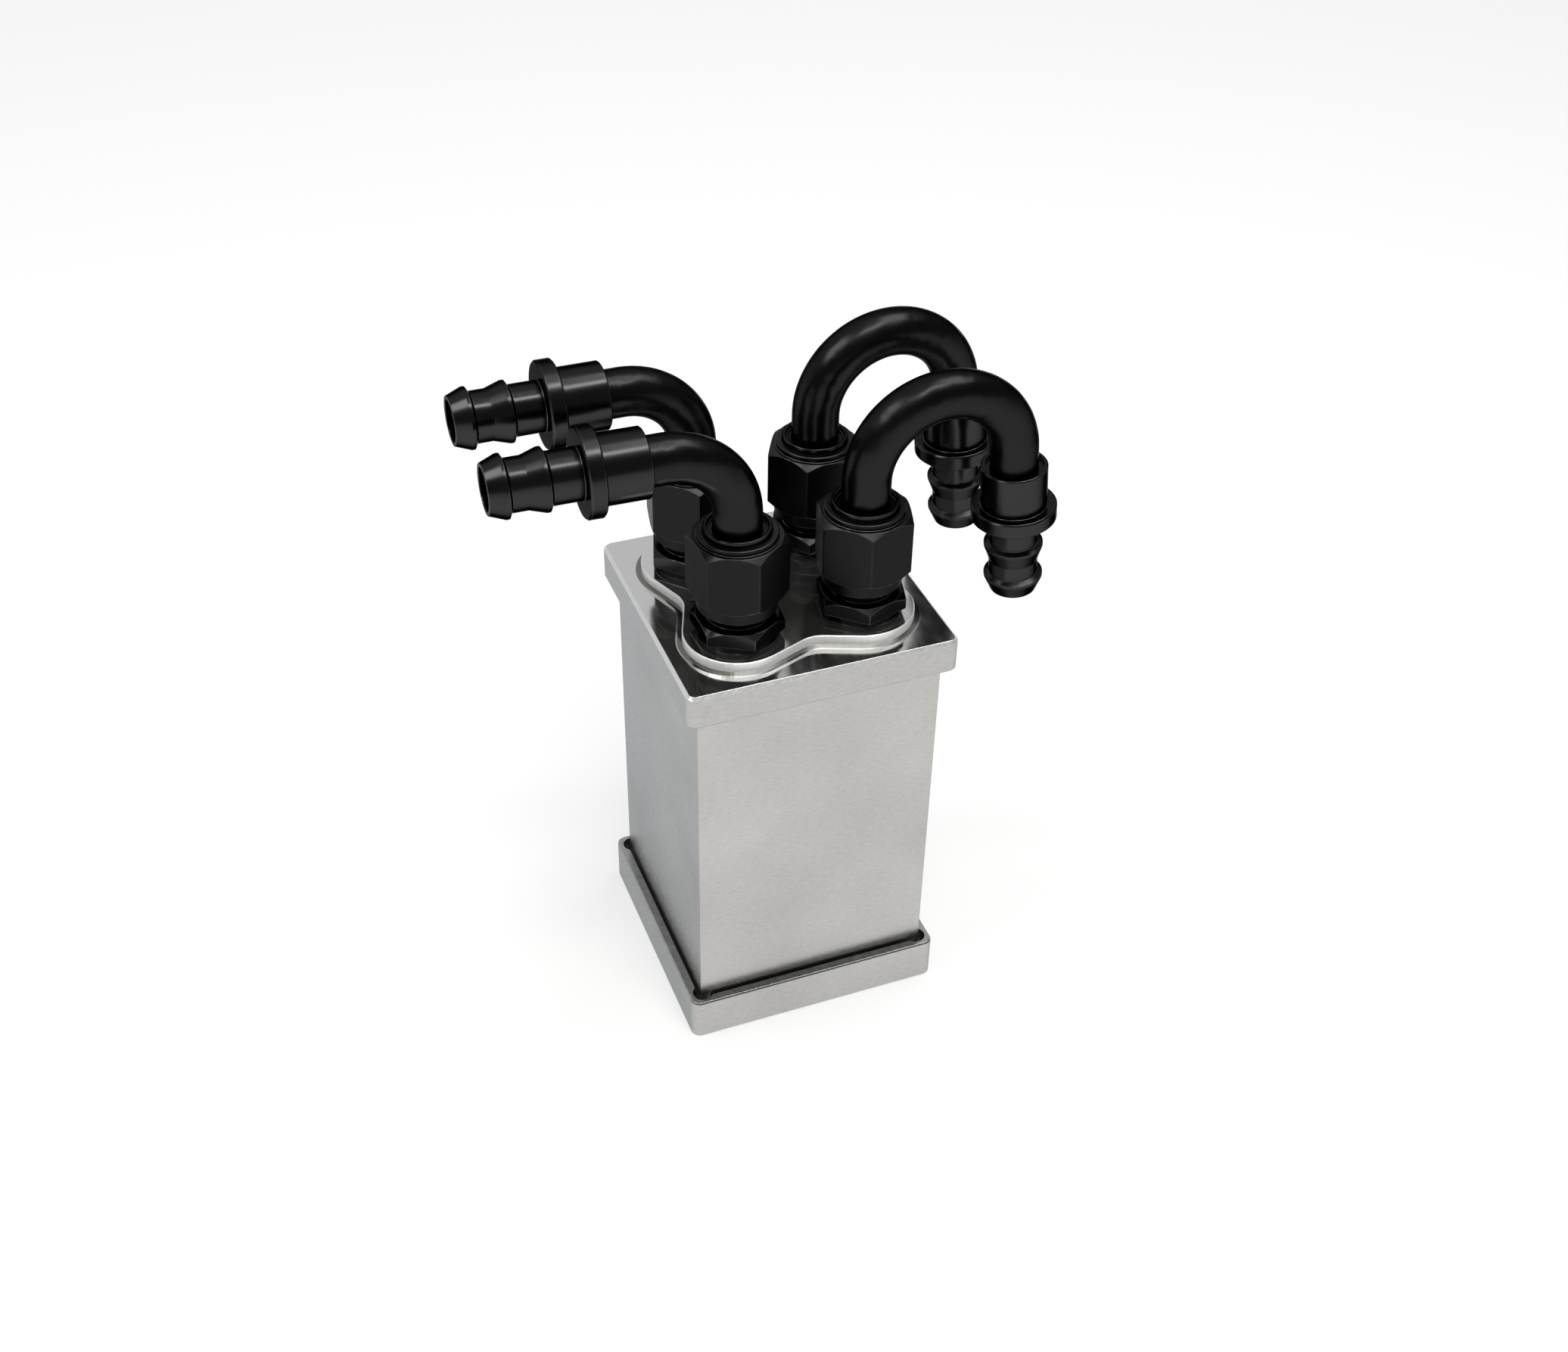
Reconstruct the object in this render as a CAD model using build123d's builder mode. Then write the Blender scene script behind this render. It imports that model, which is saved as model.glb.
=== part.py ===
from build123d import *
import os
from math import cos, radians, sin, tan

# Square can: a tube between a billet lid and a billet base, standing on z = 0
cap_corner_radius = 3.2
can_height = 147.3
lid_height = 11.5
lid_pocket_depth = 4.0
lid_top_chamfer = 1.0
base_height = 15.8
base_pocket_depth = 6.0
cap_edge_break = 0.5
pocket_gap = 1.0
relief_radius = 3.4
relief_inset = 0.9
tube_width = 80.7
tube_wall = 3.2
cap_overhang = 4.1
tube_edge_radius = 0.5
gasket_thickness = 1.5
inner_gap = 0.3

# Raised four-lobed boss that carries the ports
port_wall_distance = 16.65
boss_height = 3.5
boss_lobe_radius = 17.0
boss_flank_angle = 21.0
boss_waist_radius = 10.0
boss_flare_width = 2.0
boss_flare_height = 0.35
boss_edge_break = 0.3

# Port adapter: straight thread below, flare thread and cone above
thread_radius = 11.1
port_thread_gap = 0.05
bore_radius = 6.4
seal_groove_radius = 12.0
seal_groove_depth = 2.0
seal_gap = 0.05
adapter_collar_radius = 12.5
adapter_collar_height = 2.4
adapter_hex_width = 25.6
adapter_hex_height = 4.8
adapter_neck_radius = 9.9
adapter_neck_length = 1.5
flare_thread_length = 17.3
seat_angle = 37.0
nose_rim_radius = 7.2
nose_foot_radius = 9.5

# Coupling nut
nut_standoff = 3.3
nut_skirt_radius = 12.6
nut_skirt_length = 4.6
nut_hex_width = 27.5
nut_hex_length = 20.2
nut_neck_radius = 12.5
nut_neck_length = 1.7
nut_neck_rounding = 0.6
nut_thread_gap = 0.3
hex_chamfer_angle = 40.0
hex_edge_break = 0.25

# Hose end: flared tube, sleeve behind the flare and push-on barb
pipe_radius = 7.5
flare_rim_radius = 8.6
seat_gap = 0.3
sleeve_radius = 10.45
sleeve_shoulder_radius = 11.0
shoulder_angle = 45.0
sleeve_foot_height = 1.2
sleeve_rise = 1.8
sleeve_rounding = 0.5
sleeve_recess_radius = 9.2
sleeve_recess_depth = 1.5
sleeve_fit = 0.07
braze_gap = 0.05
elbow_bend_radius = 22.3
elbow_bend_angle = 90.0
elbow_riser = 5.9
elbow_lead = 5.4
return_bend_radius = 24.4
return_bend_angle = 175.0
return_riser = 8.5
return_lead = 6.4

# Barb, measured along its axis from the end that takes the tube
socket_radius = 10.45
socket_length = 14.0
socket_edge_break = 0.4
socket_mouth_radius = 9.3
socket_mouth_depth = 1.2
socket_depth = 13.0
flange_radius = 13.45
flange_thickness = 5.1
flange_edge_break = 0.5
barb_land_radius = 7.8
barb_crest_radius = 9.35
barb_crest_width = 0.9
barb_step = 0.9
barb_slope_length = 4.9
barb_pitch = 11.6
first_barb_distance = 9.8
barb_tip_length = 4.7
barb_tip_radius = 7.5

# Tie bolts, spacers and what they carry inside
tie_bolt_radius = 2.5
tie_bolt_clearance = 0.25
tie_bolt_reach = 5.0
tie_bolt_tap_spare = 0.5
tie_head_radius = 4.25
tie_head_height = 5.0
tie_socket_width = 4.0
tie_socket_depth = 2.5
tie_head_recess = 0.5
tie_head_gap = 0.75
washer_thickness = 1.0
spacer_radius = 4.0
spacer_wall_gap = 0.65
shelf_height = 45.0
shelf_thickness = 1.5
shelf_slot_length = 24.0
shelf_slot_width = 4.0
shelf_slot_pitch = 9.0
shelf_slot_rows = 6
divider_thickness = 1.6
divider_groove_depth = 1.5
divider_gap = 0.1
mesh_height = 40.0

# Drain plug and bracket holes in the underside
plug_radius = 6.0
plug_head_radius = 9.0
plug_head_height = 2.6
plug_recess_depth = 4.0
plug_recess_gap = 1.0
plug_socket_width = 6.0
plug_socket_depth = 5.0
bracket_spacing = 50.0
bracket_hole_radius = 2.5
bracket_hole_depth = 7.5

# Each port: name, side of X, side of Y, turns of the nut's hexagon, the adapter's hexagon and the hose end
ports = [
    ("front_left", -1, -1, 34.8, 31.9, -1.25),
    ("rear_left", -1, 1, 19.5, 12.0, 0.0),
    ("rear_right", 1, 1, 0.0, 5.0, 1.5),
    ("front_right", 1, -1, 15.9, 17.9, -0.5),
]

# Levels and sizes that follow from the values above
base_floor = base_height - base_pocket_depth
lid_foot = can_height - lid_height
lid_ceiling = lid_foot + lid_pocket_depth
cap_width = tube_width + 2 * cap_overhang
pocket_width = tube_width + 2 * pocket_gap
tube_inside = tube_width - 2 * tube_wall
inner_width = tube_inside - 2 * inner_gap
boss_top = can_height + boss_height
port_offset = tube_inside / 2 - port_wall_distance
port_spacing = 2 * port_offset
tie_bolt_spacing = tube_inside - 2 * (spacer_radius + spacer_wall_gap)

collar_top = adapter_collar_height
adapter_hex_top = collar_top + adapter_hex_height
thread_start = adapter_hex_top + adapter_neck_length
thread_end = thread_start + flare_thread_length
seat_slope = tan(radians(seat_angle))
nose_rim = thread_end + (nose_foot_radius - nose_rim_radius) / seat_slope

nut_foot = adapter_hex_top + nut_standoff
nut_hex_foot = nut_foot + nut_skirt_length
nut_hex_top = nut_hex_foot + nut_hex_length
nut_top = nut_hex_top + nut_neck_length
nut_thread_radius = thread_radius + nut_thread_gap
nut_bore_radius = sleeve_radius + sleeve_fit

# The flare's inside runs parallel to the adapter's cone, one seat gap away
seat_shift = seat_gap / cos(radians(seat_angle))
flare_top = nose_rim + (nose_rim_radius + seat_shift - bore_radius) / seat_slope
flare_foot = flare_top - (flare_rim_radius - bore_radius) / seat_slope
pipe_wall = pipe_radius - bore_radius
flare_wall = pipe_wall / cos(radians(seat_angle))
flare_shoulder = flare_top + (bore_radius + flare_wall - pipe_radius) / seat_slope
sleeve_bore = pipe_radius + braze_gap
sleeve_foot = flare_foot + sleeve_foot_height
sleeve_foot_bore = flare_rim_radius + flare_wall - sleeve_foot_height * seat_slope + 2 * braze_gap
sleeve_cone_top = sleeve_foot + (sleeve_foot_bore - sleeve_bore) / seat_slope
sleeve_shoulder = sleeve_foot + sleeve_foot_height
sleeve_top = nut_top + sleeve_rise
shoulder_slope = tan(radians(shoulder_angle))
shoulder_shift = seat_gap / sin(radians(shoulder_angle))
sleeve_shoulder_top = sleeve_shoulder + (sleeve_shoulder_radius - sleeve_radius) / shoulder_slope
nut_shoulder_top = sleeve_shoulder_top + shoulder_shift - sleeve_fit / shoulder_slope
nut_shoulder_foot = nut_shoulder_top - (nut_thread_radius - nut_bore_radius) / shoulder_slope

flange_foot = socket_length + flange_thickness
first_crest = flange_foot + first_barb_distance
second_crest = first_crest + barb_pitch
barb_end = second_crest + barb_crest_width + barb_tip_length

os.makedirs("parts", exist_ok=True)


def finish(builder, name):
    """Labels a finished piece and writes it."""
    builder.part.label = name
    export_step(builder.part, f"parts/{name}.step")


def square_pocket():
    """Draws the tube's pocket with a relief hole at each sharp corner."""
    Rectangle(pocket_width, pocket_width)
    relief_spacing = tube_width - 2 * relief_inset
    with GridLocations(relief_spacing, relief_spacing, 2, 2):
        Circle(relief_radius)


def hexagon_chamfer(width, level, upward):
    """Turns the corners of a hexagon down to a cone that meets the flats at one end."""
    outside = width
    drop = (outside - width / 2) * tan(radians(hex_chamfer_angle))
    corners = [(width / 2, level), (outside, level), (outside, level - upward * drop)]
    Polygon(*corners, align=None)


# Square body tube
with BuildPart() as body_tube:
    with BuildSketch(Plane.XY.offset(base_floor + gasket_thickness)):
        RectangleRounded(tube_width, tube_width, tube_edge_radius)
        Rectangle(tube_inside, tube_inside, mode=Mode.SUBTRACT)
    extrude(amount=lid_ceiling - base_floor - 2 * gasket_thickness)
finish(body_tube, "body_tube")

# Billet base: pocket for the tube, bolt counterbores, drain and bracket holes
with BuildPart() as base:
    with BuildSketch():
        RectangleRounded(cap_width, cap_width, cap_corner_radius)
    extrude(amount=base_height)
    chamfer(base.faces().filter_by(Axis.Z).edges(), cap_edge_break)
    with BuildSketch(Plane.XY.offset(base_height)):
        square_pocket()
    extrude(amount=-base_pocket_depth, mode=Mode.SUBTRACT)
    with Locations(Plane.XY.rotated((180, 0, 0))):
        with GridLocations(tie_bolt_spacing, tie_bolt_spacing, 2, 2):
            CounterBoreHole(
                tie_bolt_radius + tie_bolt_clearance,
                tie_head_radius + tie_head_gap,
                tie_head_recess + tie_head_height + washer_thickness,
                base_height,
            )
        CounterBoreHole(
            plug_radius + port_thread_gap,
            plug_head_radius + plug_recess_gap,
            plug_recess_depth,
            base_height,
        )
        with GridLocations(bracket_spacing, 0, 2, 1):
            Hole(bracket_hole_radius, bracket_hole_depth)
finish(base, "base")

# Outline of the boss: a lobe round each port, straight flanks and a soft waist between them
flank_sine = sin(radians(boss_flank_angle))
flank_cosine = cos(radians(boss_flank_angle))
waist_reach = port_offset + (boss_lobe_radius - port_offset * flank_sine) / flank_cosine
lobe_centre = Vector(port_offset, -port_offset)
lobe_start = lobe_centre + Vector(-flank_sine, -flank_cosine) * boss_lobe_radius
lobe_middle = lobe_centre + Vector(1, -1).normalized() * boss_lobe_radius
lobe_end = lobe_centre + Vector(flank_cosine, flank_sine) * boss_lobe_radius

# Billet lid: skirt and pocket below, port boss above
with BuildPart() as lid:
    with BuildSketch(Plane.XY.offset(lid_foot)):
        RectangleRounded(cap_width, cap_width, cap_corner_radius)
    extrude(amount=lid_height)
    chamfer(lid.faces().sort_by(Axis.Z)[-1].edges(), lid_top_chamfer)
    chamfer(lid.faces().sort_by(Axis.Z)[0].edges(), cap_edge_break)
    with BuildSketch(Plane.XY.offset(can_height)) as boss_outline:
        with BuildLine():
            for quarter in range(4):
                turn = 90 * quarter
                waist = Vector(0, -waist_reach).rotate(Axis.Z, turn)
                next_waist = waist.rotate(Axis.Z, 90)
                start = lobe_start.rotate(Axis.Z, turn)
                end = lobe_end.rotate(Axis.Z, turn)
                Line(waist, start)
                ThreePointArc(start, lobe_middle.rotate(Axis.Z, turn), end)
                Line(end, next_waist)
        make_face()
        fillet(boss_outline.vertices().sort_by_distance((0, 0, can_height))[:4], boss_waist_radius)
    extrude(amount=boss_height)
    boss_root = lid.edges(Select.LAST).group_by(Axis.Z)[0]
    lid_top = lid.faces().filter_by(Axis.Z).group_by(Axis.Z)[-2][0]
    chamfer(boss_root, boss_flare_width, boss_flare_height, reference=lid_top)
    chamfer(lid.faces().sort_by(Axis.Z)[-1].edges(), boss_edge_break)
    with BuildSketch(Plane.XY.offset(lid_foot)):
        square_pocket()
    extrude(amount=lid_pocket_depth, mode=Mode.SUBTRACT)
    with Locations(Plane.XY.offset(boss_top)):
        with GridLocations(port_spacing, port_spacing, 2, 2):
            CounterBoreHole(
                thread_radius + port_thread_gap,
                seal_groove_radius,
                seal_groove_depth,
                boss_top - lid_foot,
            )
    with Locations(Plane.XY.offset(lid_ceiling).rotated((180, 0, 0))):
        with GridLocations(tie_bolt_spacing, tie_bolt_spacing, 2, 2):
            Hole(tie_bolt_radius, tie_bolt_reach + tie_bolt_tap_spare)
    with BuildSketch(Plane.XY.offset(lid_ceiling)):
        Rectangle(divider_thickness + 2 * divider_gap, inner_width)
    extrude(amount=divider_groove_depth, mode=Mode.SUBTRACT)
finish(lid, "lid")

# Square gaskets under both ends of the tube
for name, level in (("base_gasket", base_floor), ("lid_gasket", lid_ceiling - gasket_thickness)):
    with BuildPart() as gasket:
        with BuildSketch(Plane.XY.offset(level)):
            Rectangle(tube_width, tube_width)
            Rectangle(tube_inside, tube_inside, mode=Mode.SUBTRACT)
        extrude(amount=gasket_thickness)
    finish(gasket, name)

# Four tie bolts with sealing washers under their heads
bolt_seat = tie_head_recess + tie_head_height
with BuildPart() as tie_bolts:
    with BuildSketch(Plane.XY.offset(tie_head_recess)):
        with GridLocations(tie_bolt_spacing, tie_bolt_spacing, 2, 2):
            Circle(tie_head_radius)
    extrude(amount=tie_head_height)
    with BuildSketch(Plane.XY.offset(bolt_seat)):
        with GridLocations(tie_bolt_spacing, tie_bolt_spacing, 2, 2):
            Circle(tie_bolt_radius - port_thread_gap)
    extrude(amount=lid_ceiling + tie_bolt_reach - bolt_seat)
    with BuildSketch(Plane.XY.offset(tie_head_recess)):
        with GridLocations(tie_bolt_spacing, tie_bolt_spacing, 2, 2):
            RegularPolygon(tie_socket_width / 2, 6, major_radius=False)
    extrude(amount=tie_socket_depth, mode=Mode.SUBTRACT)
finish(tie_bolts, "tie_bolts")

with BuildPart() as tie_bolt_washers:
    with BuildSketch(Plane.XY.offset(bolt_seat)):
        with GridLocations(tie_bolt_spacing, tie_bolt_spacing, 2, 2):
            Circle(tie_head_radius)
            Circle(tie_bolt_radius + tie_bolt_clearance, mode=Mode.SUBTRACT)
    extrude(amount=washer_thickness)
finish(tie_bolt_washers, "tie_bolt_washers")

# Spacer sleeves on the tie bolts, below and above the shelf
shelf_top = shelf_height + shelf_thickness
spacers = (
    ("lower_spacers", base_floor, shelf_height),
    ("upper_spacers", shelf_top, lid_ceiling),
)
for name, foot, top in spacers:
    with BuildPart() as spacer_set:
        with BuildSketch(Plane.XY.offset(foot)):
            with GridLocations(tie_bolt_spacing, tie_bolt_spacing, 2, 2):
                Circle(spacer_radius)
                Circle(tie_bolt_radius + tie_bolt_clearance, mode=Mode.SUBTRACT)
        extrude(amount=top - foot)
    finish(spacer_set, name)

# Slotted shelf between the sump and the two chambers
with BuildPart() as baffle_shelf:
    with BuildSketch(Plane.XY.offset(shelf_height)):
        Rectangle(inner_width, inner_width)
        with GridLocations(tie_bolt_spacing, tie_bolt_spacing, 2, 2):
            Circle(tie_bolt_radius + tie_bolt_clearance, mode=Mode.SUBTRACT)
        with GridLocations(inner_width / 2, shelf_slot_pitch, 2, shelf_slot_rows):
            Rectangle(shelf_slot_length, shelf_slot_width, mode=Mode.SUBTRACT)
    extrude(amount=shelf_thickness)
finish(baffle_shelf, "baffle_shelf")

# Divider plate that stands on the shelf and enters the lid's groove
with BuildPart() as divider_plate:
    with BuildSketch(Plane.XY.offset(shelf_top)):
        Rectangle(divider_thickness, inner_width - 2 * divider_gap)
    extrude(amount=lid_ceiling + divider_groove_depth - divider_gap - shelf_top)
finish(divider_plate, "divider_plate")

# Knitted wire pack on the outlet side, cut out round the spacers
mesh_inner = divider_thickness / 2 + divider_gap
with BuildPart() as mesh_pack:
    with BuildSketch(Plane.XY.offset(shelf_top)):
        with Locations((mesh_inner, 0)):
            Rectangle(inner_width / 2 - mesh_inner, inner_width, align=(Align.MIN, Align.CENTER))
        with GridLocations(tie_bolt_spacing, tie_bolt_spacing, 2, 2):
            Circle(spacer_radius + inner_gap, mode=Mode.SUBTRACT)
    extrude(amount=mesh_height)
finish(mesh_pack, "mesh_pack")

# Drain plug sunk in the underside, and its seal
plug_seal_foot = plug_recess_depth - washer_thickness
plug_head_foot = plug_seal_foot - plug_head_height
with BuildPart() as drain_plug:
    with BuildSketch(Plane.XY.offset(plug_head_foot)):
        Circle(plug_head_radius)
    extrude(amount=plug_head_height)
    with BuildSketch(Plane.XY.offset(plug_seal_foot)):
        Circle(plug_radius)
    extrude(amount=base_floor - plug_seal_foot)
    with BuildSketch(Plane.XY.offset(plug_head_foot)):
        RegularPolygon(plug_socket_width / 2, 6, major_radius=False)
    extrude(amount=plug_socket_depth, mode=Mode.SUBTRACT)
    chamfer(drain_plug.faces().sort_by(Axis.Z)[0].edges().filter_by(GeomType.CIRCLE), cap_edge_break)
finish(drain_plug, "drain_plug")

with BuildPart() as drain_seal:
    with BuildSketch(Plane.XY.offset(plug_seal_foot)):
        Circle(plug_head_radius)
        Circle(plug_radius + port_thread_gap, mode=Mode.SUBTRACT)
    extrude(amount=washer_thickness)
finish(drain_seal, "drain_seal")

# Fittings on each port, turned about the port's upright axis
for side, x_side, y_side, nut_turn, adapter_turn, hose_turn in ports:
    port = Vector(x_side * port_offset, y_side * port_offset, boss_top)
    port_axis = Axis(port, (0, 0, 1))
    profile_plane = Plane(port, x_dir=(1, 0, 0), z_dir=(0, -1, 0))
    port_plane = Plane(port)

    # Seal ring in the counterbore under the adapter's collar
    with BuildPart() as port_seal:
        with BuildSketch(port_plane.offset(-seal_groove_depth + seal_gap)):
            Circle(seal_groove_radius - seal_gap)
            Circle(adapter_neck_radius + seal_gap, mode=Mode.SUBTRACT)
        extrude(amount=seal_groove_depth - 2 * seal_gap)
    finish(port_seal, f"port_seal_{side}")

    # Adapter: turned body with a hexagon
    with BuildPart() as port_adapter:
        with BuildSketch(profile_plane):
            with BuildLine():
                Polyline(
                    (bore_radius, lid_ceiling - boss_top),
                    (thread_radius, lid_ceiling - boss_top),
                    (thread_radius, -seal_groove_depth),
                    (adapter_neck_radius, -seal_groove_depth),
                    (adapter_neck_radius, 0),
                    (adapter_collar_radius, 0),
                    (adapter_collar_radius, collar_top),
                    (adapter_neck_radius, collar_top),
                    (adapter_neck_radius, thread_start),
                    (thread_radius, thread_start + thread_radius - adapter_neck_radius),
                    (thread_radius, thread_end - thread_radius + nose_foot_radius),
                    (nose_foot_radius, thread_end),
                    (nose_rim_radius, nose_rim),
                    (bore_radius, nose_rim),
                    close=True,
                )
            make_face()
        revolve(axis=port_axis)
        with BuildSketch(port_plane.offset(collar_top)):
            RegularPolygon(adapter_hex_width / 2, 6, major_radius=False, rotation=adapter_turn)
            Circle(bore_radius, mode=Mode.SUBTRACT)
        extrude(amount=adapter_hex_height)
        with BuildSketch(profile_plane):
            hexagon_chamfer(adapter_hex_width, adapter_hex_top, 1)
        revolve(axis=port_axis, mode=Mode.SUBTRACT)
    finish(port_adapter, f"port_adapter_{side}")

    # Coupling nut: hexagon between a skirt and a neck, bored for the thread and the sleeve
    with BuildPart() as coupling_nut:
        with BuildSketch(port_plane.offset(nut_hex_foot)):
            RegularPolygon(nut_hex_width / 2, 6, major_radius=False, rotation=nut_turn)
        extrude(amount=nut_hex_length)
        chamfer(coupling_nut.edges().filter_by(Axis.Z), hex_edge_break)
        with BuildSketch(profile_plane):
            hexagon_chamfer(nut_hex_width, nut_hex_top, 1)
            hexagon_chamfer(nut_hex_width, nut_hex_foot, -1)
        revolve(axis=port_axis, mode=Mode.SUBTRACT)
        with BuildSketch(port_plane.offset(nut_foot)):
            Circle(nut_skirt_radius)
        extrude(amount=nut_skirt_length)
        with BuildSketch(port_plane.offset(nut_hex_top)):
            Circle(nut_neck_radius)
        extrude(amount=nut_neck_length)
        fillet(coupling_nut.faces().sort_by(Axis.Z)[-1].edges(), nut_neck_rounding)
        chamfer(coupling_nut.faces().sort_by(Axis.Z)[0].edges(), cap_edge_break)
        with BuildSketch(profile_plane):
            with BuildLine():
                Polyline(
                    (0, nut_foot),
                    (nut_thread_radius, nut_foot),
                    (nut_thread_radius, nut_shoulder_foot),
                    (nut_bore_radius, nut_shoulder_top),
                    (nut_bore_radius, nut_top),
                    (0, nut_top),
                    close=True,
                )
            make_face()
        revolve(axis=port_axis, mode=Mode.SUBTRACT)
    finish(coupling_nut, f"coupling_nut_{side}")

    # Sleeve behind the flare, standing a little out of the nut
    with BuildPart() as tube_sleeve:
        with BuildSketch(profile_plane):
            with BuildLine():
                Polyline(
                    (sleeve_foot_bore, sleeve_foot),
                    (sleeve_shoulder_radius, sleeve_foot),
                    (sleeve_shoulder_radius, sleeve_shoulder),
                    (sleeve_radius, sleeve_shoulder_top),
                    (sleeve_radius, sleeve_top),
                    (sleeve_recess_radius, sleeve_top),
                    (sleeve_recess_radius, sleeve_top - sleeve_recess_depth),
                    (sleeve_bore, sleeve_top - sleeve_recess_depth),
                    (sleeve_bore, sleeve_cone_top),
                    close=True,
                )
            make_face()
        revolve(axis=port_axis)
        fillet(tube_sleeve.faces().sort_by(Axis.Z)[-1].edges(), sleeve_rounding)
    finish(tube_sleeve, f"tube_sleeve_{side}")

    # Bent tube: flare at its foot, riser, bend and a straight end inside the barb's socket
    if x_side < 0:
        tube_name = "elbow_tube"
        bend_radius = elbow_bend_radius
        bend_angle = elbow_bend_angle
        bend_level = nut_top + elbow_riser
        pipe_lead = elbow_lead
    else:
        tube_name = "return_tube"
        bend_radius = return_bend_radius
        bend_angle = return_bend_angle
        bend_level = nut_top + return_riser
        pipe_lead = return_lead
    hose_reach = Vector(x_side, 0, 0).rotate(Axis.Z, hose_turn)
    bend_plane = Plane(port, x_dir=hose_reach, z_dir=hose_reach.cross(Vector(0, 0, 1)))
    with BuildPart() as bent_tube:
        with BuildLine(bend_plane) as tube_path:
            riser = Line((0, flare_shoulder), (0, bend_level))
            bend = JernArc(riser @ 1, riser % 1, bend_radius, -bend_angle)
            Line(bend @ 1, bend @ 1 + (bend % 1) * (pipe_lead + socket_depth))
        with BuildSketch(port_plane.offset(flare_shoulder)):
            Circle(pipe_radius)
            Circle(bore_radius, mode=Mode.SUBTRACT)
        sweep(path=tube_path.line)
        with BuildSketch(profile_plane):
            with BuildLine():
                Polyline(
                    (bore_radius, flare_top),
                    (flare_rim_radius, flare_foot),
                    (flare_rim_radius + flare_wall, flare_foot),
                    (pipe_radius, flare_shoulder),
                    (bore_radius, flare_shoulder),
                    close=True,
                )
            make_face()
        revolve(axis=port_axis)
    finish(bent_tube, f"{tube_name}_{side}")

    # Push-on barb on the tube's end: socket, stop flange and two barbs
    tube_end = tube_path.line @ 1
    tube_heading = tube_path.line % 1
    barb_origin = tube_end - tube_heading * socket_depth
    barb_axis = Axis(barb_origin, tube_heading)
    across = bend_plane.z_dir
    barb_plane = Plane(barb_origin, x_dir=across, z_dir=across.cross(tube_heading))
    with BuildPart() as hose_barb:
        with BuildSketch(barb_plane):
            with BuildLine():
                Polyline(
                    (socket_mouth_radius, 0),
                    (socket_radius - socket_edge_break, 0),
                    (socket_radius, socket_edge_break),
                    (socket_radius, socket_length),
                    (flange_radius - flange_edge_break, socket_length),
                    (flange_radius, socket_length + flange_edge_break),
                    (flange_radius, flange_foot - flange_edge_break),
                    (flange_radius - flange_edge_break, flange_foot),
                    (barb_land_radius, flange_foot),
                    (barb_land_radius, first_crest - barb_step),
                    (barb_crest_radius, first_crest),
                    (barb_crest_radius, first_crest + barb_crest_width),
                    (barb_land_radius, first_crest + barb_crest_width + barb_slope_length),
                    (barb_land_radius, second_crest - barb_step),
                    (barb_crest_radius, second_crest),
                    (barb_crest_radius, second_crest + barb_crest_width),
                    (barb_tip_radius, barb_end),
                    (bore_radius, barb_end),
                    (bore_radius, socket_depth),
                    (sleeve_bore, socket_depth),
                    (sleeve_bore, socket_mouth_depth),
                    (socket_mouth_radius, socket_mouth_depth),
                    close=True,
                )
            make_face()
        revolve(axis=barb_axis)
    finish(hose_barb, f"hose_barb_{side}")
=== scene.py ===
from math import cos, pi, radians, sin

import bpy
from mathutils import Matrix, Vector


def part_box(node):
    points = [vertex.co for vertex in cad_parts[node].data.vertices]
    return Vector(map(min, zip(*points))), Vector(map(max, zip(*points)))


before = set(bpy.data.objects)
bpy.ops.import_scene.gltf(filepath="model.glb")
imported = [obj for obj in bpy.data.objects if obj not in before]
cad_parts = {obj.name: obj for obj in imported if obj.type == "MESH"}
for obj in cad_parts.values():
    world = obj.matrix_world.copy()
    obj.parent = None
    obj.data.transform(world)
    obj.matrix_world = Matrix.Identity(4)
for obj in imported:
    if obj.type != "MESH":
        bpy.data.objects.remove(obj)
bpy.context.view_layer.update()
millimetre = 0.001

# Camera, at the photo's viewing angle
camera_azimuth = radians(-21.912)
camera_elevation = radians(37.748)
camera_roll = radians(1.271)
camera_place = Vector((-181.80, -460.76, 496.28)) * millimetre
camera_lens = 43.6
sensor_width = 36.0

# Studio floor, the light that falls on it and the point that the lamps face
floor_radius = 30.0
floor_drop = 0.1 * millimetre
floor_corners = 96
floor_glow = 0.48
floor_light_from = Vector((0.1, -1.0, 1.4))
floor_light_level = 1.6
floor_light_spread = radians(40)
aim_point = Vector((0, 0, 0.15))

# Levels on the lid: its flat top, the boss on it, the flare at the boss's root and the chamfer
boss_height = 3.5 * millimetre
flare_height = 0.35 * millimetre
flare_foot = 0.01 * millimetre
flare_rise = 0.07 * millimetre
lid_chamfer = 1.0 * millimetre
lid_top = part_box("lid")[1].z - boss_height
chamfer_foot = lid_top - lid_chamfer
finish_border = 0.1 * millimetre
# The boss's wall leans back by this share of its height
wall_taper = 0.2

# Patterns in the finishes, in millimetres along X, Y and Z.
# Real sanding scratches are about 0.05 mm wide, and are drawn at 0.35 mm so that they show.
sanding_scratch = (2.5, 2.5, 0.35)
sanding_cloud = (45, 45, 45)
buffing_smear = (4, 11, 9)
cutter_mark = (1, 1, 40)
dye_cloud = (14, 14, 14)
bending_wave = (7, 7, 7)
zinc_mottle = (3, 3, 3)
rubber_bloom = (4, 4, 4)
wire_loop = (1.2, 1.2, 1.8)

# Rounding of sharp edges, which is only shaded
aluminium_edge = 0.25 * millimetre
anodised_edge = 0.35 * millimetre


def linear(code):
    """Turns an sRGB hex colour into linear red, green, blue and alpha."""
    shares = [int(code[i:i + 2], 16) / 255 for i in (1, 3, 5)]
    return [s / 12.92 if s <= 0.04045 else ((s + 0.055) / 1.055) ** 2.4 for s in shares] + [1.0]


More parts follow.
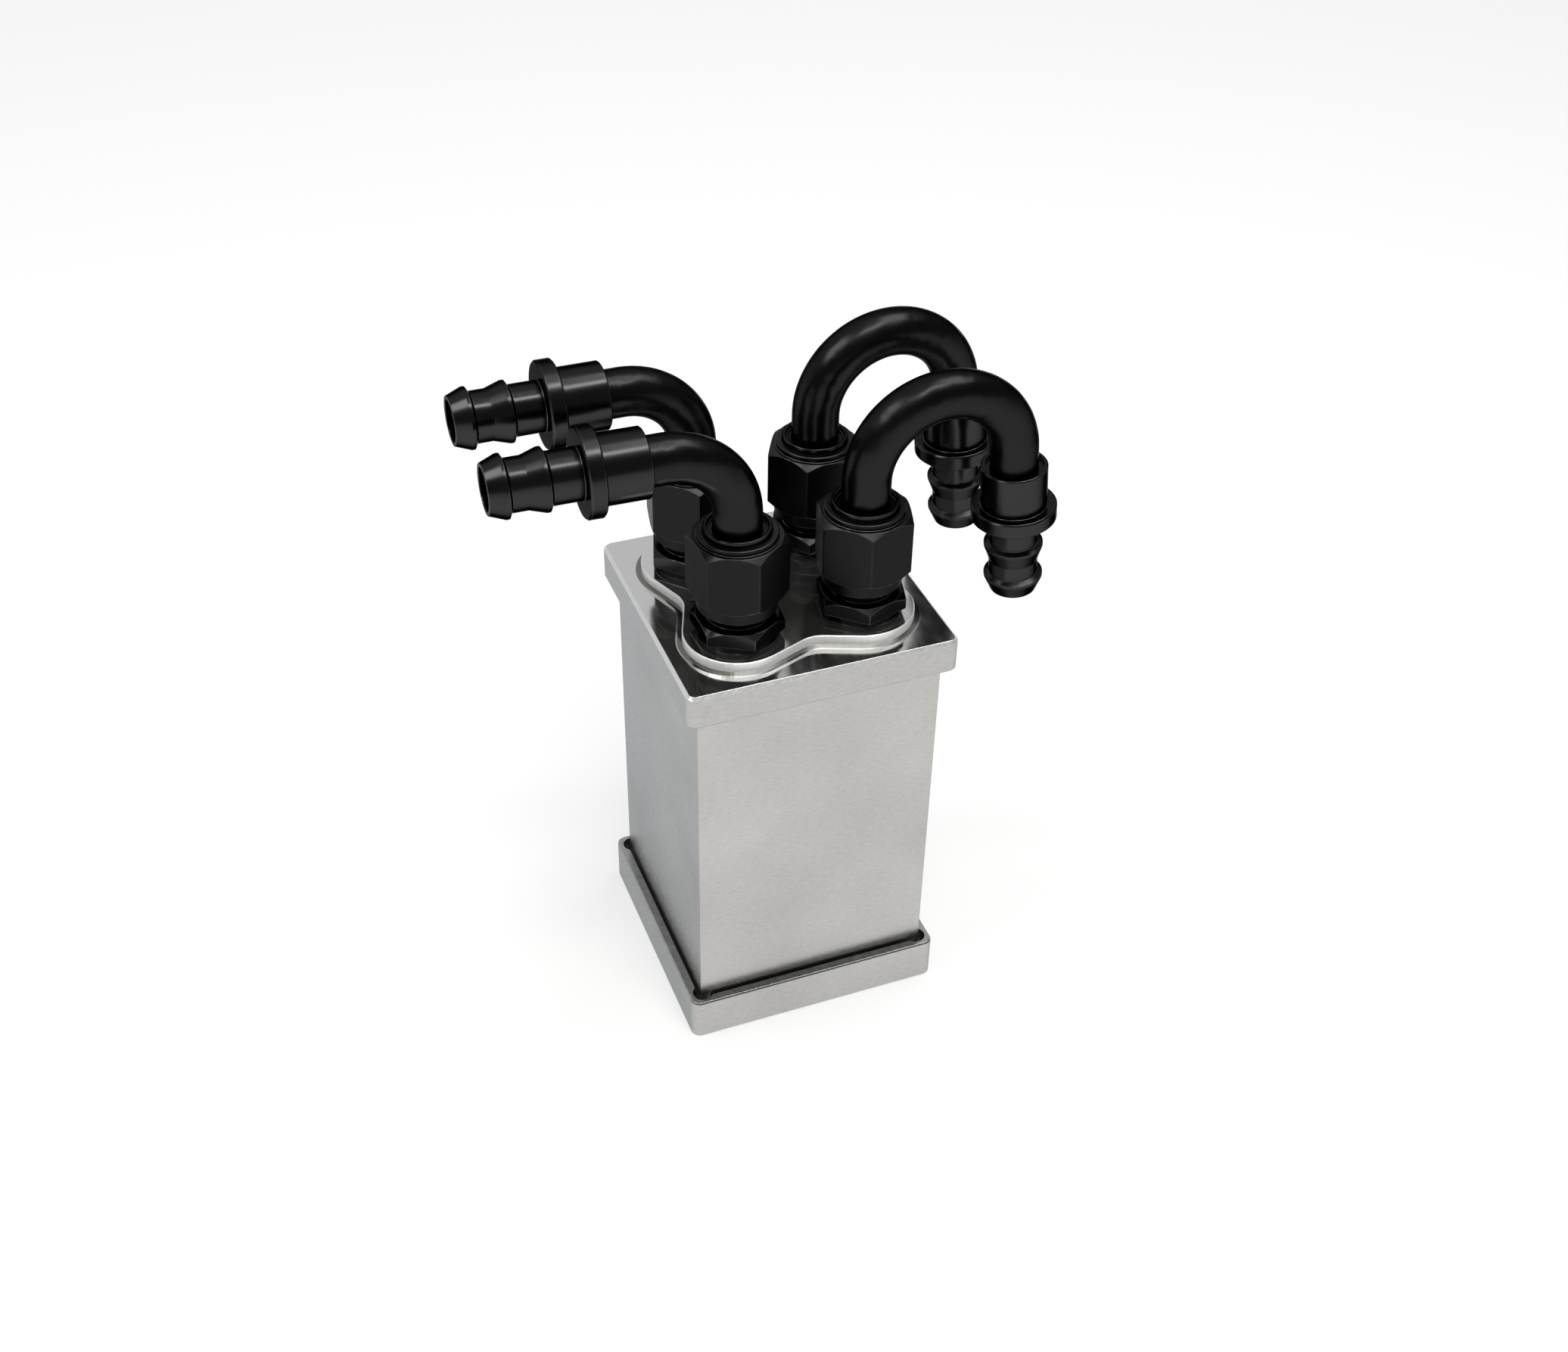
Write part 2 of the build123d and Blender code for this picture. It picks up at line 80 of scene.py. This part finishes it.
def per_metre(sizes_mm):
    """Scale of a pattern whose features measure these sizes along X, Y and Z."""
    return [1 / (size * millimetre) for size in sizes_mm]


def add_node(tree, kind, sockets=None, **settings):
    """Adds a node with its settings, and fills its sockets with values or with links from other nodes."""
    node = tree.nodes.new(kind)
    for name, value in settings.items():
        setattr(node, name, value)
    inputs = {socket.identifier: socket for socket in node.inputs}
    for name, value in (sockets or {}).items():
        if isinstance(value, bpy.types.Node):
            value = next(output for output in value.outputs if output.enabled)
        if isinstance(value, bpy.types.NodeSocket):
            tree.links.new(value, inputs[name])
        else:
            inputs[name].default_value = value
    return node


def new_material(name):
    """Makes an empty material and returns it with its node tree."""
    material = bpy.data.materials.new(name)
    material.use_nodes = True
    material.node_tree.nodes.clear()
    return material, material.node_tree


def sanded_aluminium(name, dark, light):
    """Aluminium sanded along its level edges: fine scratches blur what it mirrors to a soft grey sheen."""
    material, tree = new_material(name)
    place = add_node(tree, "ShaderNodeTexCoord").outputs["Object"]
    along = add_node(tree, "ShaderNodeMapping", {"Vector": place, "Scale": per_metre(sanding_scratch)})
    scratches = add_node(tree, "ShaderNodeTexNoise", {"Vector": along, "Scale": 1.0, "Detail": 3.0})
    streak = add_node(tree, "ShaderNodeMapRange", {
        "Value": scratches, "From Min": 0.3, "From Max": 0.7})
    wide = add_node(tree, "ShaderNodeMapping", {"Vector": place, "Scale": per_metre(sanding_cloud)})
    clouds = add_node(tree, "ShaderNodeTexNoise", {"Vector": wide, "Scale": 1.0, "Detail": 2.0})
    patch = add_node(tree, "ShaderNodeMapRange", {"Value": clouds, "From Min": 0.3, "From Max": 0.7})
    shade = add_node(tree, "ShaderNodeMix", {
        "Factor_Float": 0.55, "A_Float": patch, "B_Float": streak})
    colour = add_node(tree, "ShaderNodeMix", {
        "Factor_Float": shade, "A_Color": linear(dark), "B_Color": linear(light)}, data_type="RGBA")
    blur = add_node(tree, "ShaderNodeMapRange", {
        "Value": scratches, "From Min": 0.3, "From Max": 0.7, "To Min": 0.25, "To Max": 0.33})
    soft_edge = add_node(tree, "ShaderNodeBevel", {"Radius": aluminium_edge}, samples=4)
    bump = add_node(tree, "ShaderNodeBump", {
        "Height": scratches, "Strength": 0.1, "Distance": 0.03 * millimetre, "Normal": soft_edge})
    surface = add_node(tree, "ShaderNodeBsdfPrincipled", {
        "Base Color": colour, "Metallic": 1.0, "Roughness": blur,
        "Specular Tint": linear("#C4CACE"), "Normal": bump})
    add_node(tree, "ShaderNodeOutputMaterial", {"Surface": surface})
    return material


def billet_aluminium(name):
    """Billet aluminium: top buffed like a mirror with hazy smears, milled boss wall, sanded grey skirt."""
    material, tree = new_material(name)
    place = add_node(tree, "ShaderNodeTexCoord").outputs["Object"]
    level = add_node(tree, "ShaderNodeSeparateXYZ", {"Vector": place}).outputs["Z"]
    normal = add_node(tree, "ShaderNodeNewGeometry").outputs["Normal"]
    upward = add_node(tree, "ShaderNodeSeparateXYZ", {"Vector": normal}).outputs["Z"]

    # Where each finish lies: bright above the chamfer's foot, buffed where it faces up, milled on the wall
    bright = add_node(tree, "ShaderNodeMapRange", {
        "Value": level, "From Min": chamfer_foot - finish_border, "From Max": chamfer_foot})
    flat = add_node(tree, "ShaderNodeMapRange", {"Value": upward, "From Min": 0.8, "From Max": 0.95})
    buffed = add_node(tree, "ShaderNodeMath", {
        "Value": flat, "Value_001": bright}, operation="MULTIPLY")
    rough_side = add_node(tree, "ShaderNodeMath", {
        "Value": bright, "Value_001": buffed}, operation="SUBTRACT")
    wall = add_node(tree, "ShaderNodeMapRange", {
        "Value": level, "From Min": lid_top, "From Max": lid_top + flare_height})
    milled = add_node(tree, "ShaderNodeMath", {
        "Value": wall, "Value_001": rough_side}, operation="MULTIPLY")

    # Smears that the buffing wheel leaves
    smear_size = add_node(tree, "ShaderNodeMapping", {
        "Vector": place, "Scale": per_metre(buffing_smear)})
    smears = add_node(tree, "ShaderNodeTexNoise", {"Vector": smear_size, "Scale": 1.0, "Detail": 4.0})
    gloss = add_node(tree, "ShaderNodeMapRange", {
        "Value": smears, "From Min": 0.35, "From Max": 0.75, "To Min": 0.07, "To Max": 0.2})

    # Sanding scratches on the skirt
    along = add_node(tree, "ShaderNodeMapping", {"Vector": place, "Scale": per_metre(sanding_scratch)})
    scratches = add_node(tree, "ShaderNodeTexNoise", {"Vector": along, "Scale": 1.0, "Detail": 3.0})
    streak = add_node(tree, "ShaderNodeMapRange", {
        "Value": scratches, "From Min": 0.3, "From Max": 0.7})
    skirt = add_node(tree, "ShaderNodeMix", {
        "Factor_Float": streak, "A_Color": linear("#B0AEAC"), "B_Color": linear("#C1BFBD")},
        data_type="RGBA")
    satin = add_node(tree, "ShaderNodeMapRange", {
        "Value": scratches, "From Min": 0.3, "From Max": 0.7, "To Min": 0.27, "To Max": 0.35})
    roughness = add_node(tree, "ShaderNodeMix", {
        "Factor_Float": buffed, "A_Float": satin, "B_Float": gloss})

    # Upright cutter marks on the boss's wall and the chamfer
    upright = add_node(tree, "ShaderNodeMapping", {"Vector": place, "Scale": per_metre(cutter_mark)})
    marks = add_node(tree, "ShaderNodeTexNoise", {"Vector": upright, "Scale": 1.0, "Detail": 1.0})
    depth = add_node(tree, "ShaderNodeMath", {
        "Value": marks, "Value_001": rough_side}, operation="MULTIPLY")
    soft_edge = add_node(tree, "ShaderNodeBevel", {"Radius": aluminium_edge}, samples=4)
    # The cutter's taper leans the wall back a little, so that it mirrors the floor
    lean = add_node(tree, "ShaderNodeBump", {
        "Height": level, "Strength": milled, "Distance": wall_taper, "Normal": soft_edge}, invert=True)
    bump = add_node(tree, "ShaderNodeBump", {
        "Height": depth, "Strength": 0.8, "Distance": 0.2 * millimetre, "Normal": lean})

    # The flare at the boss's root is painted darker, as shade that dims the boss wall's mirror image in
    # the buffed top; the buffing wheel doesn't reach it
    metal = add_node(tree, "ShaderNodeMix", {
        "Factor_Float": bright, "A_Color": skirt, "B_Color": linear("#F0EFEC")}, data_type="RGBA")
    raised = add_node(tree, "ShaderNodeMapRange", {
        "Value": level, "From Min": lid_top + flare_foot, "From Max": lid_top + flare_foot + flare_rise})
    flare = add_node(tree, "ShaderNodeMath", {
        "Value": raised, "Value_001": buffed}, operation="MULTIPLY")
    below = add_node(tree, "ShaderNodeMapRange", {
        "Value": level, "From Min": lid_top + 2 * flare_height, "From Max": lid_top + flare_height})
    painted_root_shade = add_node(tree, "ShaderNodeMath", {
        "Value": flare, "Value_001": below}, operation="MULTIPLY")
    colour = add_node(tree, "ShaderNodeMix", {
        "Factor_Float": painted_root_shade, "A_Color": metal, "B_Color": linear("#8C8A87")}, data_type="RGBA")

    # The milled wall's fine tooth scatters light in all directions, nearly as paint does
    scatter = add_node(tree, "ShaderNodeMath", {
        "Value": rough_side, "Value_001": milled}, operation="ADD")
    shine = add_node(tree, "ShaderNodeMapRange", {
        "Value": scatter, "From Max": 2.0, "To Min": 0.985, "To Max": 0.55})
    surface = add_node(tree, "ShaderNodeBsdfPrincipled", {
        "Base Color": colour, "Metallic": shine, "Roughness": roughness,
        "Specular Tint": linear("#C4CACE"), "Normal": bump})
    add_node(tree, "ShaderNodeOutputMaterial", {"Surface": surface})
    return material


def black_anodised(name, milled, turned, glance, roughness, tooth_mm, wave_mm):
    """Black anodised aluminium: a dyed oxide skin with a satin gloss, paler on faces that turn upward, as
    a painted highlight on the lathe-faced chamfers.

    glance dims what it mirrors at low angles, tooth_mm is the size of its grain, and wave_mm the height of
    the waves that bending leaves.
    """
    material, tree = new_material(name)
    place = add_node(tree, "ShaderNodeTexCoord").outputs["Object"]
    normal = add_node(tree, "ShaderNodeNewGeometry").outputs["Normal"]
    upward = add_node(tree, "ShaderNodeSeparateXYZ", {"Vector": normal}).outputs["Z"]
    # Faces that turn upward take the paler turned colour: a painted highlight from above, on the
    # lathe-faced chamfers
    upward_highlight = add_node(tree, "ShaderNodeMapRange", {"Value": upward, "From Min": 0.3, "From Max": 0.6})
    skin = add_node(tree, "ShaderNodeMix", {
        "Factor_Float": upward_highlight, "A_Color": linear(milled), "B_Color": linear(turned)}, data_type="RGBA")

    # Edges are rubbed a little brighter, square ones the most, and the paler edge colour is also a painted
    # highlight in place of edge glints
    soft_edge = add_node(tree, "ShaderNodeBevel", {"Radius": anodised_edge}, samples=6)
    turn = add_node(tree, "ShaderNodeVectorMath", {
        "Vector": soft_edge, "Vector_001": normal}, operation="DOT_PRODUCT")
    rubbed_and_glinting = add_node(tree, "ShaderNodeMapRange", {
        "Value": turn, "From Min": 0.985, "From Max": 0.72})
    colour = add_node(tree, "ShaderNodeMix", {
        "Factor_Float": rubbed_and_glinting, "A_Color": skin, "B_Color": linear("#8C8C8C")}, data_type="RGBA")

    # The dye bath leaves the gloss a little uneven
    wide = add_node(tree, "ShaderNodeMapping", {"Vector": place, "Scale": per_metre(dye_cloud)})
    clouds = add_node(tree, "ShaderNodeTexNoise", {"Vector": wide, "Scale": 1.0, "Detail": 3.0})
    gloss = add_node(tree, "ShaderNodeMapRange", {
        "Value": clouds, "From Min": 0.3, "From Max": 0.7,
        "To Min": roughness - 0.04, "To Max": roughness + 0.04})

    # Shallow waves that bending leaves in a tube, under the skin's own fine tooth
    long = add_node(tree, "ShaderNodeMapping", {"Vector": place, "Scale": per_metre(bending_wave)})
    ripple = add_node(tree, "ShaderNodeTexNoise", {"Vector": long, "Scale": 1.0, "Detail": 1.0})
    waves = add_node(tree, "ShaderNodeBump", {
        "Height": ripple, "Strength": 1.0, "Distance": wave_mm * millimetre, "Normal": soft_edge})
    fine = add_node(tree, "ShaderNodeMapping", {
        "Vector": place, "Scale": per_metre((tooth_mm, tooth_mm, tooth_mm))})
    tooth = add_node(tree, "ShaderNodeTexNoise", {"Vector": fine, "Scale": 1.0, "Detail": 2.0})
    bump = add_node(tree, "ShaderNodeBump", {
        "Height": tooth, "Strength": 0.3, "Distance": 0.02 * millimetre, "Normal": waves})
    surface = add_node(tree, "ShaderNodeBsdfPrincipled", {
        "Base Color": colour, "Metallic": 1.0, "Roughness": gloss,
        "Specular Tint": linear(glance), "Normal": bump})
    add_node(tree, "ShaderNodeOutputMaterial", {"Surface": surface})
    return material


def zinc_steel(name):
    """Zinc-plated steel: a cool pale grey with a faint mottle."""
    material, tree = new_material(name)
    place = add_node(tree, "ShaderNodeTexCoord").outputs["Object"]
    spots = add_node(tree, "ShaderNodeMapping", {"Vector": place, "Scale": per_metre(zinc_mottle)})
    mottle = add_node(tree, "ShaderNodeTexNoise", {"Vector": spots, "Scale": 1.0, "Detail": 3.0})
    colour = add_node(tree, "ShaderNodeMix", {
        "Factor_Float": mottle, "A_Color": linear("#A3A7AA"), "B_Color": linear("#C9CCCE")},
        data_type="RGBA")
    blur = add_node(tree, "ShaderNodeMapRange", {"Value": mottle, "To Min": 0.2, "To Max": 0.46})
    surface = add_node(tree, "ShaderNodeBsdfPrincipled", {
        "Base Color": colour, "Metallic": 1.0, "Roughness": blur})
    add_node(tree, "ShaderNodeOutputMaterial", {"Surface": surface})
    return material


def nitrile_rubber(name):
    """Nitrile rubber: matt black with a faint dusty bloom."""
    material, tree = new_material(name)
    place = add_node(tree, "ShaderNodeTexCoord").outputs["Object"]
    spots = add_node(tree, "ShaderNodeMapping", {"Vector": place, "Scale": per_metre(rubber_bloom)})
    bloom = add_node(tree, "ShaderNodeTexNoise", {"Vector": spots, "Scale": 1.0, "Detail": 4.0})
    colour = add_node(tree, "ShaderNodeMix", {
        "Factor_Float": bloom, "A_Color": linear("#111111"), "B_Color": linear("#2B2B2B")},
        data_type="RGBA")
    matt = add_node(tree, "ShaderNodeMapRange", {"Value": bloom, "To Min": 0.5, "To Max": 0.9})
    surface = add_node(tree, "ShaderNodeBsdfPrincipled", {
        "Base Color": colour, "Roughness": matt, "IOR": 1.52})
    add_node(tree, "ShaderNodeOutputMaterial", {"Surface": surface})
    return material


def knitted_wire(name):
    """Knitted stainless wire: bright loops about a millimetre apart, with painted shade in the gaps
    between them.
    """
    material, tree = new_material(name)
    place = add_node(tree, "ShaderNodeTexCoord").outputs["Object"]
    spots = add_node(tree, "ShaderNodeMapping", {"Vector": place, "Scale": per_metre(wire_loop)})
    loops = add_node(tree, "ShaderNodeTexNoise", {"Vector": spots, "Scale": 1.0, "Detail": 1.0})
    wire = add_node(tree, "ShaderNodeMapRange", {"Value": loops, "From Min": 0.45, "From Max": 0.6})
    # The dark colour in the gaps between loops is painted shade
    colour = add_node(tree, "ShaderNodeMix", {
        "Factor_Float": wire, "A_Color": linear("#2A2A2A"), "B_Color": linear("#B4B4B2")},
        data_type="RGBA")
    blur = add_node(tree, "ShaderNodeMapRange", {"Value": wire, "To Min": 0.5, "To Max": 0.3})
    bump = add_node(tree, "ShaderNodeBump", {
        "Height": loops, "Strength": 0.8, "Distance": 0.5 * millimetre})
    surface = add_node(tree, "ShaderNodeBsdfPrincipled", {
        "Base Color": colour, "Metallic": 1.0, "Roughness": blur, "Normal": bump})
    add_node(tree, "ShaderNodeOutputMaterial", {"Surface": surface})
    return material


def dress(prefixes, material):
    """Gives a material to every node whose name starts with one of the prefixes."""
    for name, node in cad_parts.items():
        if name.startswith(prefixes):
            node.data.materials.clear()
            node.data.materials.append(material)


# The gaskets come after the lid and the base, because their names start alike
dress(("body_tube", "base"), sanded_aluminium("sanded_aluminium", "#ADABA8", "#C8C6C3"))
dress(("baffle_shelf", "divider_plate", "lower_spacers", "upper_spacers"),
      sanded_aluminium("mill_aluminium", "#ABABAA", "#BDBDBB"))
dress(("lid",), billet_aluminium("buffed_billet_aluminium"))
dress(("coupling_nut",), black_anodised(
    "black_anodised_hexagon", milled="#262626", turned="#3C3C3C", glance="#B8B8B8",
    roughness=0.34, tooth_mm=0.4, wave_mm=0))
dress(("elbow_tube", "return_tube"), black_anodised(
    "black_anodised_tube", milled="#2A2A2A", turned="#2A2A2A", glance="#A0A0A0",
    roughness=0.29, tooth_mm=0.5, wave_mm=0.5))
dress(("hose_barb", "tube_sleeve", "port_adapter"), black_anodised(
    "black_anodised_turning", milled="#383838", turned="#383838", glance="#868686",
    roughness=0.22, tooth_mm=0.25, wave_mm=0))
dress(("tie_bolt", "drain_plug"), zinc_steel("zinc_plated_steel"))
dress(("lid_gasket", "base_gasket", "port_seal", "drain_seal"), nitrile_rubber("nitrile_rubber"))
dress(("mesh_pack",), knitted_wire("knitted_stainless_wire"))


def pale_floor():
    """Pale matt floor that shows white to the eye and in reflections, and keeps a soft shadow."""
    turns = [2 * pi * i / floor_corners for i in range(floor_corners)]
    corners = [(floor_radius * cos(turn), floor_radius * sin(turn), -floor_drop) for turn in turns]
    mesh = bpy.data.meshes.new("floor")
    mesh.from_pydata(corners, [], [range(floor_corners)])
    floor = bpy.data.objects.new("floor", mesh)
    bpy.context.scene.collection.objects.link(floor)
    material, tree = new_material("pale_floor")
    matt = add_node(tree, "ShaderNodeBsdfDiffuse", {"Color": linear("#F0F0F0")})
    white = add_node(tree, "ShaderNodeEmission", {"Color": linear("#FFFFFF"), "Strength": 1.0})
    ray = add_node(tree, "ShaderNodeLightPath")
    seen = ray.outputs["Is Camera Ray"]
    for kind in ("Is Glossy Ray", "Is Transmission Ray"):
        seen = add_node(tree, "ShaderNodeMath", {
            "Value": seen, "Value_001": ray.outputs[kind]}, operation="MAXIMUM")
    share = add_node(tree, "ShaderNodeMath", {
        "Value": seen, "Value_001": floor_glow}, operation="MULTIPLY")
    both = add_node(tree, "ShaderNodeMixShader", {"Fac": share, "Shader": matt, "Shader_001": white})
    add_node(tree, "ShaderNodeOutputMaterial", {"Surface": both})
    mesh.materials.append(material)


def studio_dome():
    """Soft dome: dim in front, brighter behind and overhead, with a pale band along the horizon."""
    world = bpy.data.worlds.new("studio_dome")
    world.use_nodes = True
    tree = world.node_tree
    tree.nodes.clear()
    direction = add_node(tree, "ShaderNodeTexCoord").outputs["Generated"]
    parts = add_node(tree, "ShaderNodeSeparateXYZ", {"Vector": direction})
    rear = add_node(tree, "ShaderNodeMapRange", {
        "Value": parts.outputs["Y"], "From Min": -0.1, "From Max": 0.8}, interpolation_type="SMOOTHSTEP")
    round_about = add_node(tree, "ShaderNodeMix", {
        "Factor_Float": rear, "A_Color": linear("#65686C"), "B_Color": linear("#C3C5C6")},
        data_type="RGBA")
    overhead = add_node(tree, "ShaderNodeMapRange", {
        "Value": parts.outputs["Z"], "From Min": 0.8, "From Max": 0.95}, interpolation_type="SMOOTHSTEP")
    sky = add_node(tree, "ShaderNodeMix", {
        "Factor_Float": overhead, "A_Color": round_about, "B_Color": linear("#C9CBCC")},
        data_type="RGBA")
    height = add_node(tree, "ShaderNodeMapRange", {
        "Value": parts.outputs["Z"], "From Min": 0.02, "From Max": 0.16}, interpolation_type="SMOOTHSTEP")
    colour = add_node(tree, "ShaderNodeMix", {
        "Factor_Float": height, "A_Color": linear("#E8EAEB"), "B_Color": sky}, data_type="RGBA")
    light = add_node(tree, "ShaderNodeBackground", {"Color": colour, "Strength": 1.0})
    add_node(tree, "ShaderNodeOutputWorld", {"Surface": light})
    bpy.context.scene.world = world


def floor_light():
    """Broad even light from the front that stays out of reflections and throws a soft shadow."""
    lamp = bpy.data.lights.new("floor_light", "SUN")
    lamp.energy = floor_light_level
    lamp.angle = floor_light_spread
    lamp.color = linear("#FFFCF7")[:3]
    light = bpy.data.objects.new("floor_light", lamp)
    light.rotation_euler = (-floor_light_from).to_track_quat("-Z", "Y").to_euler()
    light.visible_glossy = False
    bpy.context.scene.collection.objects.link(light)


def soft_box(name, place, width, height, brightness):
    """Rectangular lamp of a given brightness that faces the aim point."""
    lamp = bpy.data.lights.new(name, "AREA")
    lamp.shape = "RECTANGLE"
    lamp.size = width
    lamp.size_y = height
    lamp.energy = pi * width * height * brightness
    box = bpy.data.objects.new(name, lamp)
    box.location = place
    box.rotation_euler = (aim_point - Vector(place)).to_track_quat("-Z", "Y").to_euler()
    bpy.context.scene.collection.objects.link(box)


def camera():
    """Camera at the photo's place, turned by azimuth, elevation and roll."""
    level = Vector((cos(camera_azimuth), sin(camera_azimuth), 0))
    back = Vector((
        sin(camera_azimuth) * cos(camera_elevation),
        -cos(camera_azimuth) * cos(camera_elevation),
        sin(camera_elevation)))
    upward = back.cross(level)
    right = cos(camera_roll) * level + sin(camera_roll) * upward
    up = cos(camera_roll) * upward - sin(camera_roll) * level
    turned = Matrix((right, up, back)).transposed().to_4x4()
    lens = bpy.data.cameras.new("camera")
    lens.sensor_width = sensor_width
    lens.lens = camera_lens
    view = bpy.data.objects.new("camera", lens)
    view.matrix_world = Matrix.Translation(camera_place) @ turned
    bpy.context.scene.collection.objects.link(view)
    bpy.context.scene.camera = view


pale_floor()
studio_dome()
# The lamps stand beside the zenith, so that the buffed lid doesn't mirror them to an eye straight above it
soft_box("front_box", place=(0.03, -0.28, 1.22), width=0.5, height=0.15, brightness=11.0)
soft_box("left_box", place=(-0.68, 0.02, 1.08), width=0.55, height=0.45, brightness=5.5)
soft_box("right_box", place=(0.46, 0.04, 1.20), width=0.6, height=0.5, brightness=4.5)
floor_light()
camera()
bpy.context.scene.view_settings.view_transform = "Standard"
